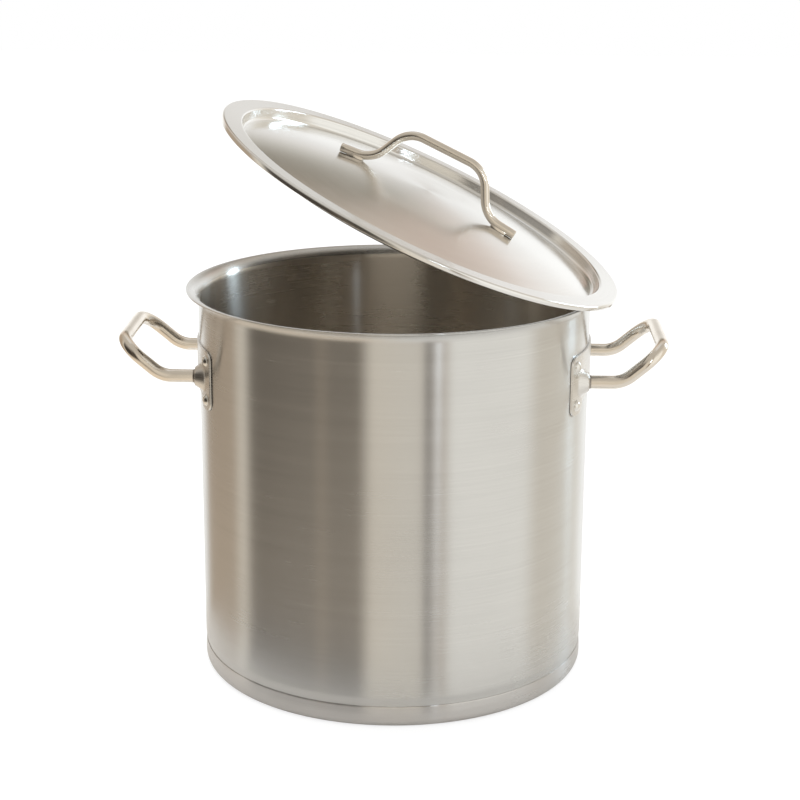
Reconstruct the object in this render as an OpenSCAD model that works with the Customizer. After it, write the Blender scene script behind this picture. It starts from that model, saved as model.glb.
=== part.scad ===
// Commercial stainless steel stock pot with a loose lid, shown tipped open on the rim.
// The origin is the centre of the underside, +Z is up, and the side handles lie along X.

/* [Pot] */
// Outside diameter of the pot wall
pot_d = 360; // [260:5:500]
// Height of the rim above the surface that the pot stands on
pot_h = 360; // [240:5:520]
// Thickness of the drawn steel shell
wall_t = 1; // [0.8:0.1:1.6]
// Inside radius between wall and floor
floor_r = 12; // [10:1:20]

/* [Rim] */
// Radius of the outward curl
curl_r = 10; // [6:1:12]
// Flat land outside the curl, up to the cut edge
land_w = 1.2; // [0.6:0.2:3]

/* [Sandwich base] */
// Thickness of the aluminium core
core_t = 6; // [4:0.5:9]
// Thickness of the steel cap under the core
cap_t = 0.8; // [0.6:0.1:1.2]
// Height of the cap wall
cap_h = 20; // [16:1:28]
// Outside corner radius of the cap
cap_r = 7; // [5:0.5:9]
// Height over which the outside of the cap's edge is ground back
grind_h = 8; // [3:1:11]
// Depth of the grinding at the cap's edge
grind_t = 0.5; // [0.1:0.1:0.5]
// Height over which the pot wall steps in above the cap
neck_h = 9; // [5:1:14]

/* [Side handles] */
// Diameter of the handle tube
tube_d = 12; // [10:0.5:14]
// Wall of the handle tube
tube_t = 1.5; // [1:0.1:2]
// Distance between the centres of a handle's two legs
leg_span = 117; // [100:1:130]
// Height of the rim above the legs
leg_drop = 74; // [64:1:110]
// Straight reach of a leg from the pot wall to its knee
leg_reach = 28; // [24:1:36]
// Reach of the whole handle from the pot wall
handle_reach = 70; // [60:1:90]
// Slope of the handle beyond the knee, in degrees
handle_slope = 40; // [25:1:55]
// Bend radius of the knee
knee_r = 26; // [20:1:34]
// Bend radius of the corners of the grip
grip_r = 23; // [14:1:30]

/* [Handle brackets] */
// Thickness of the pressed plate
plate_t = 1.8; // [1.2:0.1:2.4]
// Width of the plate, measured straight across
plate_w = 166; // [156:1:176]
// Height of the plate
plate_h = 55; // [48:1:64]
// Width of each lobe that hangs below the plate's middle
lobe_w = 24; // [18:1:26]
// Height of the cut-out between the lobes
notch_h = 12; // [6:1:13]
// Corner radius of the plate
plate_r = 8; // [4:1:9]
// Radius of the inside corners of the cut-out
notch_r = 4; // [2:0.5:6]
// Diameter of the flat on top of each pressed boss
boss_top_d = 17; // [16:0.5:20]
// Slope of the side of a boss, in degrees from its axis
boss_slope = 32; // [20:1:40]
// Height of a boss over the plate, at the leg
boss_h = 5.6; // [4:0.2:8]
// Size of the weld bead around each leg
bead_w = 1.6; // [1:0.1:2.4]

/* [Rivets] */
// Diameter of a rivet's shank
rivet_d = 4.8; // [4:0.1:6]
// Distance across the two columns of rivets
rivet_span = 148; // [144:1:152]
// Distance between the upper and the lower rivet of a column
rivet_pitch = 36; // [30:1:40]
// Diameter of the domed head
head_d = 10.5; // [7:0.5:11]
// Height of the domed head
head_h = 3.2; // [1.5:0.1:3.5]
// Thickness of the flat head inside the pot
tail_t = 1.2; // [0.8:0.1:2]

/* [Lid] */
// Thickness of the lid sheet
lid_t = 1; // [0.8:0.1:1.5]
// Reach of the lid past the pot's rim
lid_over = 5.8; // [4:0.2:9]
// Depth of the turned-down edge under the flange
lip_h = 3.6; // [2:0.2:6]
// Depth of the well inside the flange
well_h = 10.5; // [8:0.5:12]
// Radial clearance between the well and the pot's mouth, at the bottom of the well
well_gap = 1.5; // [1.2:0.1:3]
// Draft of the well's wall, from bottom to top
well_draft = 1; // [0.4:0.1:1]
// Corner radius at the bottom of the well
well_r = 4; // [2:0.5:6]
// Height of the dome's crown above the flange
crown_h = 8.5; // [4:0.5:20]

/* [Lid handle] */
// Diameter of the rod
rod_d = 8; // [6:0.5:10]
// Overall length of the handle along the lid
rod_span = 177; // [150:1:200]
// Distance between the two knees
rod_knees = 115; // [108:1:126]
// Length of the straight grip between its corners
rod_grip = 77; // [70:1:90]
// Height of the grip over the knees
rod_rise = 38.2; // [30:0.2:50]
// Bend radius at the knees
rod_knee_r = 27; // [12:1:30]
// Bend radius at the corners of the grip
rod_grip_r = 25; // [10:1:28]
// Width of the weld bead that shows beside each foot
rod_bead_w = 0.8; // [0.4:0.1:3]

/* [Rest pose] */
// How far the lid stands open, in degrees
lid_open = 24.8; // [0:0.2:59.8]
// Direction in which the lid leans on the rim, in degrees from +X
lid_turn = -6.8; // [-30:0.2:30]
// How far the lid is turned about its own axis, in degrees
lid_spin = -3; // [-90:1:90]

/* [Hidden] */
$fn = 96;

fit_gap = 0.1;                          // assembly clearance between neighbouring parts
seat_gap = 0.3;                         // running clearance between the closed lid and the rim
edge_r = 1;                             // inside bend radius of the lid's turned-down edge
hinge_drop = 19.5;                      // the lid tips about a line this far under the rim
hinge_out = 3.3;                        // and this far outside the rim's cut edge
lap = 0.2;                              // straight lengths reach this far into a bend
lap_step = 0.05;                        // and are this much thicker all round, so none is tangent
arc_steps = 10;                         // straight facets in each rounded corner of a profile
dome_steps = 14;                        // straight facets in the dome of the lid

pot_r = pot_d / 2;
base_t = cap_t + core_t;                // the shell's floor stands on this
neck_in = cap_t + fit_gap;              // the wall steps in by this, so the cap lies flush
cap_out_r = pot_r;
core_r = cap_out_r - cap_r;
mouth_r = pot_r - wall_t;
rim_out_r = pot_r + curl_r + land_w;

leg_y = leg_span / 2;
leg_z = pot_h - leg_drop;
plate_in_r = pot_r + fit_gap;
plate_out_r = plate_in_r + plate_t;
boss_top_x = sqrt(pow(plate_out_r, 2) - pow(leg_y, 2)) + boss_h;
boss_foot_x = sqrt(pow(plate_in_r, 2) - pow(plate_w / 2, 2));
tube_end_x = sqrt(pow(pot_r, 2) - pow(leg_y - tube_d / 2, 2)) + 2 * fit_gap;
knee_x = pot_r + leg_reach;
grip_x = pot_r + handle_reach - tube_d / 2;
grip_z = leg_z + (grip_x - knee_x) * tan(handle_slope);
knee_cut = knee_r * tan(handle_slope / 2);
slope_run = (grip_x - knee_x) / cos(handle_slope) - knee_cut - grip_r;
leg_run = knee_x - knee_cut - tube_end_x;

rivet_turn = asin(rivet_span / 2 / plate_out_r);
rivet_hole_d = rivet_d + 2 * fit_gap;
tail_x = sqrt(pow(mouth_r, 2) - pow(head_d / 2, 2));

lid_r = rim_out_r + lid_over;
well_out_r = mouth_r - well_gap;
well_floor_z = lid_t - well_h;          // top face of the well's floor, over the flange's underside
dome_r = well_out_r - lid_t - well_r;
crown_z = lid_t + crown_h;
rod_foot_r = (rod_span + rod_knees) / 4;
foot_slope = atan((crown_z - well_floor_z) * 2 * rod_foot_r / pow(dome_r, 2));
rod_foot_z = dome_z(rod_foot_r) + lid_t + (rod_d / 2 + fit_gap) / cos(foot_slope);
rod_knee_z = rod_foot_z + tan(foot_slope) * (rod_foot_r - rod_knees / 2);
rod_slope = atan(rod_rise / ((rod_knees - rod_grip) / 2));

hinge_r = rim_out_r + hinge_out;
hinge_z = pot_h - hinge_drop;

// ---- profiles: points of a sheet's outer face, from the axis outwards ----

// Underside of the dome, which falls away as the square of the radius
function dome_z(r) = crown_z - lid_t - (crown_z - well_floor_z) * pow(r / dome_r, 2);

function arc(centre, r, from, to) =
    [for (i = [0:arc_steps])
        let (a = from + (to - from) * i / arc_steps)
        centre + r * [cos(a), sin(a)]];

function unit(v) = v / norm(v);
function to_left(v) = [-v[1], v[0]];

// The same path, moved to its left by d
function moved_left(path, d) =
    [for (i = [0:len(path) - 1])
        let (
            before = unit(path[max(i, 1)] - path[max(i, 1) - 1]),
            after = unit(path[min(i + 1, len(path) - 1)] - path[min(i, len(path) - 2)]),
            across = unit(to_left(before) + to_left(after)),
            p = path[i] + across * d / (across * to_left(before))
        )
        [max(p[0], 0), p[1]]];

function turned_round(path) = [for (i = [len(path) - 1:-1:0]) path[i]];

pot_path = concat(
    [[0, base_t]],
    arc([pot_r - neck_in - floor_r - wall_t, base_t + floor_r + wall_t], floor_r + wall_t, 270, 360),
    [[pot_r - neck_in, cap_h + fit_gap], [pot_r, cap_h + neck_h]],
    arc([pot_r + curl_r, pot_h - wall_t - curl_r], curl_r, 180, 90),
    [[rim_out_r, pot_h - wall_t]]
);

cap_path = concat(
    [[0, 0]],
    arc([cap_out_r - cap_r, cap_r], cap_r, 270, 360),
    [[cap_out_r, cap_h]]
);

// The cap's outer face as it is after grinding
cap_ground_path = concat(
    [for (i = [0:len(cap_path) - 2]) cap_path[i]],
    [[cap_out_r, cap_h - grind_h], [cap_out_r - grind_t, cap_h]]
);

lid_path = concat(
    [[0, dome_z(0)]],
    [for (i = [1:dome_steps - 1]) let (r = dome_r * i / dome_steps) [r, dome_z(r)]],
    arc([dome_r, well_floor_z + well_r], well_r + lid_t, 270, 360),
    arc([well_out_r + well_draft + lid_t, -lid_t], lid_t, 180, 90),
    arc([lid_r - lid_t - edge_r, -edge_r], edge_r, 90, 0),
    [[lid_r - lid_t, -lip_h]]
);

// ---- shared shapes ----

// A round sheet-metal part, spun from the path of its outer face
module spun_sheet(path, t) {
    rotate_extrude()
        polygon(concat(path, turned_round(moved_left(path, t))));
}

module round_rect(w, h, r) {
    square([w - 2 * r, h], center = true);
    square([w, h - 2 * r], center = true);
    for (x = [-1, 1], y = [-1, 1])
        translate([x * (w / 2 - r), y * (h / 2 - r)])
            circle(r);
}

// The section of a tube, or of a solid rod where the wall t is 0
module section(d, t) {
    difference() {
        circle(d = d);
        if (t > 0)
            circle(d = d - 2 * t);
    }
}

// A straight length along +Z, with whatever follows it at its end. laps: 1 where an end reaches
// into a bend, 0 where it does not
module run(d, t, length, laps) {
    translate([0, 0, -lap * laps[0]])
        linear_extrude(length + lap * (laps[0] + laps[1]))
            section(d, t);
    translate([0, 0, length])
        children();
}

// A bend from +Z towards +X, with whatever follows it at its end
module bend(d, t, r, angle) {
    inner_t = t > 0 ? t - 2 * lap_step : 0;
    translate([r, 0, 0])
        rotate([90, 180, 0])
            rotate_extrude(angle = -angle)
                translate([r, 0])
                    section(d - 2 * lap_step, inner_t);
    translate([r, 0, 0])
        rotate([0, angle, 0])
            translate([-r, 0, 0])
                children();
}

// Things that lie on the right stay, and the left side's are their mirror image
module on_side(side) {
    if (side == "left")
        mirror([1, 0, 0]) children();
    else
        children();
}

module both_legs() {
    for (s = [-1, 1])
        translate([0, s * leg_y, leg_z])
            rotate([0, 90, 0])
                children();
}

// Rivet axes point outwards from the pot's axis: s is -1 for the front column, 1 for the rear
module rivet_places(columns) {
    for (s = columns, row = [-1, 1])
        rotate([0, 0, s * rivet_turn])
            translate([0, 0, leg_z + row * rivet_pitch / 2])
                rotate([0, 90, 0])
                    children();
}

// ---- pot ----

module pot_body() {
    color("silver")
        difference() {
            spun_sheet(pot_path, wall_t);
            for (side = ["left", "right"])
                on_side(side)
                    rivet_places([-1, 1])
                        cylinder(d = rivet_hole_d, h = 2 * pot_r);
        }
}

module base_core() {
    color("gainsboro")
        translate([0, 0, cap_t])
            cylinder(r = core_r, h = core_t);
}

module base_cap() {
    color("silver")
        rotate_extrude()
            polygon(concat(cap_ground_path, turned_round(moved_left(cap_path, cap_t))));
}

// ---- side handles ----

module inside_corner(r) {
    difference() {
        translate([-r, -r])
            square(2 * r);
        translate([-r, -r])
            circle(r);
    }
}

module plate_outline() {
    notch_z = notch_h - plate_h / 2;
    translate([0, notch_h / 2])
        square([plate_w - 2 * plate_r, plate_h - notch_h], center = true);
    for (s = [0, 1])
        mirror([s, 0]) {
            translate([(plate_w - lobe_w) / 2, 0])
                round_rect(lobe_w, plate_h, plate_r);
            translate([plate_w / 2 - lobe_w, notch_z])
                inside_corner(notch_r);
        }
}

module boss(length, inset) {
    top_r = boss_top_d / 2 - inset;
    cylinder(r1 = top_r + length * tan(boss_slope), r2 = top_r, h = length);
}

module bracket(side) {
    depth = boss_top_x - boss_foot_x;
    color("gainsboro")
        on_side(side)
            difference() {
                union() {
                    intersection() {
                        translate([0, 0, leg_z - plate_h])
                            cylinder(r = plate_out_r, h = 2 * plate_h);
                        translate([0, 0, leg_z])
                            rotate([90, 0, 90])
                                linear_extrude(2 * pot_r)
                                    plate_outline();
                    }
                    both_legs()
                        translate([0, 0, boss_foot_x])
                            boss(depth, 0);
                }
                translate([0, 0, leg_z - plate_h])
                    cylinder(r = plate_in_r, h = 2 * plate_h);
                both_legs() {
                    translate([0, 0, boss_foot_x - plate_t])
                        boss(depth, plate_t * (1 / cos(boss_slope) - tan(boss_slope)));
                    cylinder(d = tube_d + 2 * fit_gap, h = 2 * pot_r);
                }
                rivet_places([-1, 1])
                    cylinder(d = rivet_hole_d, h = 2 * pot_r);
            }
}

// From the middle of the grip, round one corner, down the slope and in along one leg
module handle_half() {
    translate([grip_x, 0, grip_z])
        rotate([0, -handle_slope, 0])
            rotate([90, 0, 180])
                run(tube_d, tube_t, leg_y - grip_r, [0, 1])
                    bend(tube_d, tube_t, grip_r, 90)
                        run(tube_d, tube_t, slope_run, [1, 1])
                            rotate([0, 0, 90])
                                bend(tube_d, tube_t, knee_r, handle_slope)
                                    run(tube_d, tube_t, leg_run, [1, 0]);
}

module handle(side) {
    color("silver")
        on_side(side) {
            handle_half();
            mirror([0, 1, 0])
                handle_half();
        }
}

module handle_welds(side) {
    bead_in = tube_d / 2 + fit_gap;
    color("gray")
        on_side(side)
            both_legs()
                translate([0, 0, boss_top_x])
                    rotate_extrude()
                        polygon([[bead_in, 0], [bead_in + bead_w, 0], [bead_in, bead_w]]);
}

module rivet() {
    dome_rad = (pow(head_d / 2, 2) + pow(head_h, 2)) / (2 * head_h);
    translate([0, 0, tail_x - tail_t])
        cylinder(d = rivet_d, h = plate_out_r - tail_x + tail_t + head_h / 2);
    translate([0, 0, tail_x - tail_t])
        cylinder(d = head_d, h = tail_t);
    intersection() {
        translate([0, 0, plate_out_r])
            cylinder(d = head_d, h = head_h);
        translate([0, 0, plate_out_r + head_h - dome_rad])
            sphere(dome_rad);
    }
}

module rivets(side, column) {
    color("silver")
        on_side(side)
            rivet_places([column])
                rivet();
}

// ---- lid: modelled shut, with the rim's plane at Z = 0, then tipped ----

module tipped() {
    rotate([0, 0, lid_turn])
        translate([hinge_r, 0, hinge_z])
            rotate([0, lid_open, 0])
                translate([-hinge_r, 0, pot_h + seat_gap - hinge_z])
                    rotate([0, 0, lid_spin])
                        children();
}

module lid_panel() {
    color("silver")
        tipped()
            spun_sheet(lid_path, lid_t);
}

module lid_handle_half() {
    grip_cut = rod_grip_r * tan(rod_slope / 2);
    knee_turn = rod_slope - foot_slope;
    knee_cut = rod_knee_r * tan(knee_turn / 2);
    rise = norm([rod_rise, (rod_knees - rod_grip) / 2]) - grip_cut - knee_cut;
    foot = (rod_span - rod_knees) / 2 / cos(foot_slope) - knee_cut;
    translate([0, 0, rod_knee_z + rod_rise])
        rotate([0, 90, 0])
            run(rod_d, 0, rod_grip / 2 - grip_cut, [0, 1])
                bend(rod_d, 0, rod_grip_r, rod_slope)
                    run(rod_d, 0, rise, [1, 1])
                        rotate([0, 0, 180])
                            bend(rod_d, 0, rod_knee_r, knee_turn)
                                run(rod_d, 0, foot, [1, 0]);
}

module lid_handle() {
    color("silver")
        tipped() {
            lid_handle_half();
            mirror([1, 0, 0])
                lid_handle_half();
        }
}

// Two beads in the corners between each foot and the dome
module lid_handle_welds() {
    bead_l = (rod_span - rod_knees) / 4;
    color("gray")
        tipped()
            for (s = [-1, 1], t = [0, 1])
                translate([s * rod_foot_r, 0, dome_z(rod_foot_r) + lid_t + fit_gap])
                    rotate([0, s * foot_slope, 0])
                        rotate([90, 0, 90])
                            mirror([t, 0, 0])
                                linear_extrude(bead_l, center = true)
                                    foot_bead();
}

module foot_bead() {
    difference() {
        polygon([[rod_d / 4, 0], [rod_d / 2 + rod_bead_w, 0], [rod_d / 2, rod_d / 3]]);
        translate([0, rod_d / 2])
            circle(d = rod_d + 2 * fit_gap);
    }
}

pot_body();
base_core();
base_cap();
bracket("left");  // bracket_left
bracket("right");  // bracket_right
handle("left");  // handle_left
handle("right");  // handle_right
handle_welds("left");  // handle_welds_left
handle_welds("right");  // handle_welds_right
rivets("left", -1);  // rivets_left_front
rivets("left", 1);  // rivets_left_rear
rivets("right", -1);  // rivets_right_front
rivets("right", 1);  // rivets_right_rear
lid_panel();
lid_handle();
lid_handle_welds();
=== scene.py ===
"""A commercial stainless steel stock pot with its lid tipped open on the rim.

Sizes of the pot and the lid are in millimetres; their meshes are scaled to metres when they are
finished. Sizes in the studio are in metres.
"""
import logging
import math
from dataclasses import dataclass
from enum import Enum
from typing import Iterable, NamedTuple, Sequence

import bmesh
import bpy
from mathutils import Matrix, Vector


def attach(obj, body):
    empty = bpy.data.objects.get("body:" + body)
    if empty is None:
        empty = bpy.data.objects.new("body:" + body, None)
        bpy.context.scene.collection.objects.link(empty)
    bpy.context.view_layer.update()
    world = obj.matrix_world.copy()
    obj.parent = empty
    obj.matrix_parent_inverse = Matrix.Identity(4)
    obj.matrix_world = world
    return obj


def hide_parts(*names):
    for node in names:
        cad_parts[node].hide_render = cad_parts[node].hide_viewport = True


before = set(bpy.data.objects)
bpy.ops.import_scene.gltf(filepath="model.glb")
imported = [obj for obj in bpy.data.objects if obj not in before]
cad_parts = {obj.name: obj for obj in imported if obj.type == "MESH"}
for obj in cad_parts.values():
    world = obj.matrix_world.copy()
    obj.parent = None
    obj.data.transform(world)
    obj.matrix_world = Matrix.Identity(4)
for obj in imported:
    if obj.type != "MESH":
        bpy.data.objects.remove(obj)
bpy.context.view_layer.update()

LOG = logging.getLogger("stock_pot")

METRE = 0.001          # one millimetre in metres
TOUCH = 1e-4           # vertices nearer than this, in mm, are one
ROUND = 256            # steps in a full turn of the large spun parts
EASE = 1.0             # length of the guard edge or ring beside a bend, in mm
HUB = 2.0              # radius of the innermost ring of a spun floor, in mm
INWARDS = 0.5          # a face whose normal leans in or up by more than this is an inner one
QUARTER_TURN = 0.25    # turns the brushing from across the tangent to along it
RING_SHARE = 0.1       # how much the lid's grain changes round a ring, against across it
ORIGIN = Vector((0.0, 0.0, 0.0))
X_AXIS = Vector((1.0, 0.0, 0.0))
Y_AXIS = Vector((0.0, 1.0, 0.0))
Z_AXIS = Vector((0.0, 0.0, 1.0))

Mesh, Vert, Edge = bmesh.types.BMesh, bmesh.types.BMVert, bmesh.types.BMEdge
Tree, Socket, Material = bpy.types.NodeTree, bpy.types.NodeSocket, bpy.types.Material
Finishes = dict[str, Material]
Colour = tuple[float, float, float]


class Side(Enum):
    """Which side of the pot a handle is on; the value is the sign of X."""

    LEFT = -1
    RIGHT = 1


class Grain(Enum):
    """How the brushing runs on a steel surface."""

    ROUND_POT = "round_pot"
    ROUND_LID = "round_lid"
    FINE = "fine"


# ---------------------------------------------------------------- mesh tools


def verts_of(geometry: Iterable[object]) -> list[Vert]:
    """Picks the vertices out of what a mesh operation gives back."""
    return [e for e in geometry if isinstance(e, Vert)]


def edges_of(geometry: Iterable[object]) -> list[Edge]:
    """Picks the edges out of what a mesh operation gives back."""
    return [e for e in geometry if isinstance(e, Edge)]


class Profile:
    """A chain of edges in the XZ plane, drawn from a first point, then spun about Z."""

    def __init__(self, x: float, z: float) -> None:
        """Starts the chain.

        Args:
            x: Distance of the first point from the axis.
            z: Height of the first point.
        """
        self.bm = bmesh.new()
        self.tip = self.bm.verts.new((x, 0.0, z))

    def line(self, x: float, z: float, parts: int = 1) -> "Profile":
        """Draws a straight line from the tip.

        Args:
            x: Distance of the end from the axis.
            z: Height of the end.
            parts: Number of equal edges in it.

        Returns:
            The profile, so that calls can be chained.
        """
        step = (Vector((x, 0.0, z)) - self.tip.co) / parts
        for _ in range(parts):
            made = bmesh.ops.extrude_vert_indiv(self.bm, verts=[self.tip])["verts"][0]
            bmesh.ops.translate(self.bm, verts=[made], vec=step)
            self.tip = made
        return self

    def through(self, points: Iterable[tuple[float, float]]) -> "Profile":
        """Draws a straight line to each point in turn.

        Args:
            points: Distance from the axis and height of each point.

        Returns:
            The profile, so that calls can be chained.
        """
        for x, z in points:
            self.line(x, z)
        return self

    def arc(self, x: float, z: float, turn: float, steps: int) -> "Profile":
        """Draws an arc from the tip about a centre.

        Args:
            x: Distance of the centre from the axis.
            z: Height of the centre.
            turn: Angle in degrees, anticlockwise with X to the right and Z up.
            steps: Number of edges in it.

        Returns:
            The profile, so that calls can be chained.
        """
        last = bmesh.ops.spin(self.bm, geom=[self.tip], cent=(x, 0.0, z), axis=Y_AXIS,
                              dvec=ORIGIN, angle=-math.radians(turn), steps=steps,
                              use_duplicate=False)["geom_last"]
        self.tip = verts_of(last)[0]
        return self

    def filled(self) -> Mesh:
        """Fills the chain, whose ends meet, as one flat face.

        Returns:
            The flat mesh.
        """
        bmesh.ops.remove_doubles(self.bm, verts=self.bm.verts[:], dist=TOUCH)
        bmesh.ops.contextual_create(self.bm, geom=self.bm.edges[:])
        return self.bm

    def spun(self, steps: int = ROUND) -> Mesh:
        """Spins the chain once about Z.

        Args:
            steps: Number of steps in the full turn.

        Returns:
            The closed mesh, with its poles merged and its faces outwards.
        """
        bm = self.bm
        bmesh.ops.spin(bm, geom=bm.verts[:] + bm.edges[:], cent=ORIGIN, axis=Z_AXIS, dvec=ORIGIN,
                       angle=math.tau, steps=steps, use_merge=True, use_duplicate=False)
        return closed(bm)


class Pipe:
    """A round bar or tube that is drawn length by length from one end to the other."""

    def __init__(self, start: Vector, heading: Vector, radius: float, sides: int = 40) -> None:
        """Starts the pipe with a ring square to its heading.

        Args:
            start: Centre of the first ring.
            heading: Direction of the first length.
            radius: Outside radius.
            sides: Number of points in a ring.
        """
        self.bm = bmesh.new()
        self.tip = start.copy()
        self.heading = heading.normalized()
        turn = Z_AXIS.rotation_difference(self.heading).to_matrix().to_4x4()
        made = bmesh.ops.create_circle(self.bm, cap_ends=True, segments=sides, radius=radius,
                                       matrix=Matrix.Translation(start) @ turn)["verts"]
        self.ring = list(made) + list(self.bm.edges)

    def run(self, length: float, parts: int = 1) -> "Pipe":
        """Draws a straight length.

        Args:
            length: Its length.
            parts: Number of rings in it.

        Returns:
            The pipe, so that calls can be chained.
        """
        for _ in range(parts):
            made = bmesh.ops.extrude_edge_only(self.bm, edges=edges_of(self.ring))["geom"]
            verts = verts_of(made)
            bmesh.ops.translate(self.bm, verts=verts, vec=self.heading * (length / parts))
            ends = set(verts)
            self.ring = verts + [e for e in edges_of(made) if ends.issuperset(e.verts)]
        self.tip += self.heading * length
        return self

    def eased(self, length: float, parts: int) -> "Pipe":
        """Draws a straight length between two bends, with a guard ring at each end.

        Args:
            length: Its whole length.
            parts: Number of rings between the guards.

        Returns:
            The pipe, so that calls can be chained.
        """
        return self.run(EASE).run(length - 2.0 * EASE, parts).run(EASE)

    def bend(self, towards: Vector, radius: float, degrees: float, steps: int) -> "Pipe":
        """Draws a bend.

        Args:
            towards: Direction from the tip to the centre of the bend.
            radius: Radius of the bend's centre line.
            degrees: How far it turns.
            steps: Number of rings in it.

        Returns:
            The pipe, so that calls can be chained.
        """
        side = (towards - self.heading * towards.dot(self.heading)).normalized()
        centre = self.tip + side * radius
        axis = self.heading.cross(side)
        angle = math.radians(degrees)
        self.ring = bmesh.ops.spin(self.bm, geom=self.ring, cent=centre, axis=axis,
                                   dvec=ORIGIN, angle=angle, steps=steps,
                                   use_duplicate=False)["geom_last"]
        turn = Matrix.Rotation(angle, 3, axis)
        self.heading = turn @ self.heading
        self.tip = centre + turn @ (self.tip - centre)
        return self

    def capped(self) -> Mesh:
        """Closes the far end and returns the mesh, with its faces outwards."""
        bmesh.ops.edgeloop_fill(self.bm, edges=edges_of(self.ring))
        return closed(self.bm)


def closed(bm: Mesh) -> Mesh:
    """Merges doubles and turns the faces of a closed mesh outwards.

    Args:
        bm: The mesh, which is changed.

    Returns:
        The same mesh.
    """
    bmesh.ops.remove_doubles(bm, verts=bm.verts[:], dist=TOUCH)
    bmesh.ops.dissolve_degenerate(bm, dist=TOUCH, edges=bm.edges[:])
    bmesh.ops.recalc_face_normals(bm, faces=bm.faces[:])
    return bm


def thickened(bm: Mesh, step: tuple[float, float, float]) -> Mesh:
    """Turns a flat sheet into a closed solid.

    Args:
        bm: The sheet, which is changed.
        step: Where its other face goes.

    Returns:
        The same mesh.
    """
    made = bmesh.ops.extrude_face_region(bm, geom=bm.faces[:])["geom"]
    bmesh.ops.translate(bm, verts=verts_of(made), vec=step)
    return closed(bm)


def joined(parts: Sequence[Mesh]) -> Mesh:
    """Puts several meshes into one.

    Args:
        parts: The meshes, which are freed.

    Returns:
        A new mesh that holds them all.
    """
    whole = bmesh.new()
    for part in parts:
        carrier = bpy.data.meshes.new("carrier")
        part.to_mesh(carrier)
        part.free()
        whole.from_mesh(carrier)
        bpy.data.meshes.remove(carrier)
    return whole


def placed(bm: Mesh, matrix: Matrix) -> Mesh:
    """Moves a mesh; a mirror image gets its faces turned back outwards.

    Args:
        bm: The mesh, which is changed.
        matrix: Where it goes.

    Returns:
        The same mesh.
    """
    bmesh.ops.transform(bm, matrix=matrix, verts=bm.verts[:])
    if matrix.determinant() < 0.0:
        bmesh.ops.reverse_faces(bm, faces=bm.faces[:])
    return bm


def sharp_edges(bm: Mesh, angle: float) -> list[Edge]:
    """Picks the edges whose two faces turn by more than an angle, in radians."""
    return [e for e in bm.edges if e.calc_face_angle(0.0) > angle]


def rounded(bm: Mesh, edges: Sequence[Edge], width: float,
            steps: int = 3) -> None:
    """Rounds edges.

    Args:
        bm: The mesh.
        edges: The edges to round.
        width: How far the rounding reaches from each edge.
        steps: Number of faces across it.
    """
    bmesh.ops.bevel(bm, geom=list(edges), offset=width, offset_type="OFFSET", segments=steps,
                    profile=0.5, affect="EDGES", clamp_overlap=True, material=-1)


def added(bm: Mesh, name: str, material: Material) -> bpy.types.Object:
    """Makes an object of a mesh and adds it to the scene.

    Args:
        bm: The mesh in metres, which is freed.
        name: Name of the object.
        material: Its material.

    Returns:
        The object.
    """
    mesh = bpy.data.meshes.new(name)
    bm.to_mesh(mesh)
    bm.free()
    mesh.materials.append(material)
    made = bpy.data.objects.new(name, mesh)
    bpy.context.scene.collection.objects.link(made)
    return made


def piece(bm: Mesh, name: str, finish: Material, body: str, slot: str,
          *nodes: str, sharp: float = 32.0) -> bpy.types.Object:
    """Makes an object of a mesh, hangs it on its body and hides the nodes that it stands for.

    Args:
        bm: The mesh in millimetres, which is freed.
        name: Name of the piece.
        finish: Its material.
        body: The moving body that it rides on.
        slot: The name of a material slot in the record; not used.
        *nodes: The nodes that it stands for.
        sharp: Edges that turn by more than this, in degrees, stay sharp.

    Returns:
        The object.
    """
    bmesh.ops.scale(bm, vec=(METRE, METRE, METRE), verts=bm.verts[:])
    limit = math.radians(sharp)
    for face in bm.faces:
        face.smooth = True
    for edge in bm.edges:
        edge.smooth = len(edge.link_faces) == 2 and edge.calc_face_angle(0.0) < limit
    made = added(bm, name, finish)
    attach(made, body)
    if nodes:
        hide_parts(*nodes)
    LOG.info("%s: %d faces", name, len(made.data.polygons))
    return made


# ---------------------------------------------------------------- node tools


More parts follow.
